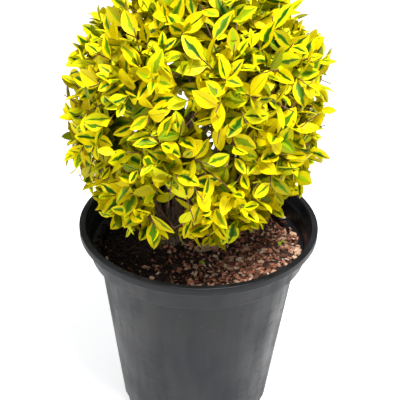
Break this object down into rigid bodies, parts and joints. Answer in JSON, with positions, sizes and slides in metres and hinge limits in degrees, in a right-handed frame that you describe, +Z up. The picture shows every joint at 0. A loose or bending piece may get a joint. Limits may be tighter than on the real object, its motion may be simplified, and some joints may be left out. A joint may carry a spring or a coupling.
{
  "type": "potted golden privet",
  "caption": "Rounded many-stemmed golden privet shrub with yellow and green leaves, growing in a round tapered black nursery pot with a banded rim.",
  "frame": {"origin": "centre of the pot's flat underside", "axes": "+Z up along the pot's turned axis, -Y towards the front of the plant"},
  "size_m": [0.2898, 0.2846, 0.539],
  "materials": {
    "pot_plastic": "scuffed satin black",
    "compost": "rough bark chips and compost",
    "bark": "smooth grey-brown bark",
    "foliage": "glossy golden leaf with green middles"
  },
  "bodies": {
    "root": {"bough_skirt_1": "bark", "bough_skirt_2": "bark", "bough_skirt_3": "bark", "bough_skirt_4": "bark", "bough_skirt_5": "bark", "bough_skirt_6": "bark", "bough_top_2": "bark", "bough_waist_1": "bark", "bough_waist_2": "bark", "bough_waist_3": "bark", "bough_waist_4": "bark", "bough_waist_5": "bark", "bough_waist_6": "bark", "compost": "compost", "foliage_shoulder_1": "foliage", "foliage_shoulder_2": "foliage", "foliage_shoulder_3": "foliage", "foliage_shoulder_4": "foliage", "foliage_shoulder_5": "foliage", "foliage_shoulder_6": "foliage", "foliage_skirt_1": "foliage", "foliage_skirt_2": "foliage", "foliage_skirt_3": "foliage", "foliage_skirt_4": "foliage", "foliage_skirt_5": "foliage", "foliage_skirt_6": "foliage", "foliage_top_1": "foliage", "foliage_top_2": "foliage", "foliage_waist_1": "foliage", "foliage_waist_2": "foliage", "foliage_waist_3": "foliage", "foliage_waist_4": "foliage", "foliage_waist_5": "foliage", "foliage_waist_6": "foliage", "pot": "pot_plastic", "stem_1": "bark", "stem_2": "bark", "stem_3": "bark", "stem_4": "bark", "stem_5": "bark", "stem_6": "bark", "stem_7": "bark", "stool": "bark"}
  },
  "joints": []
}
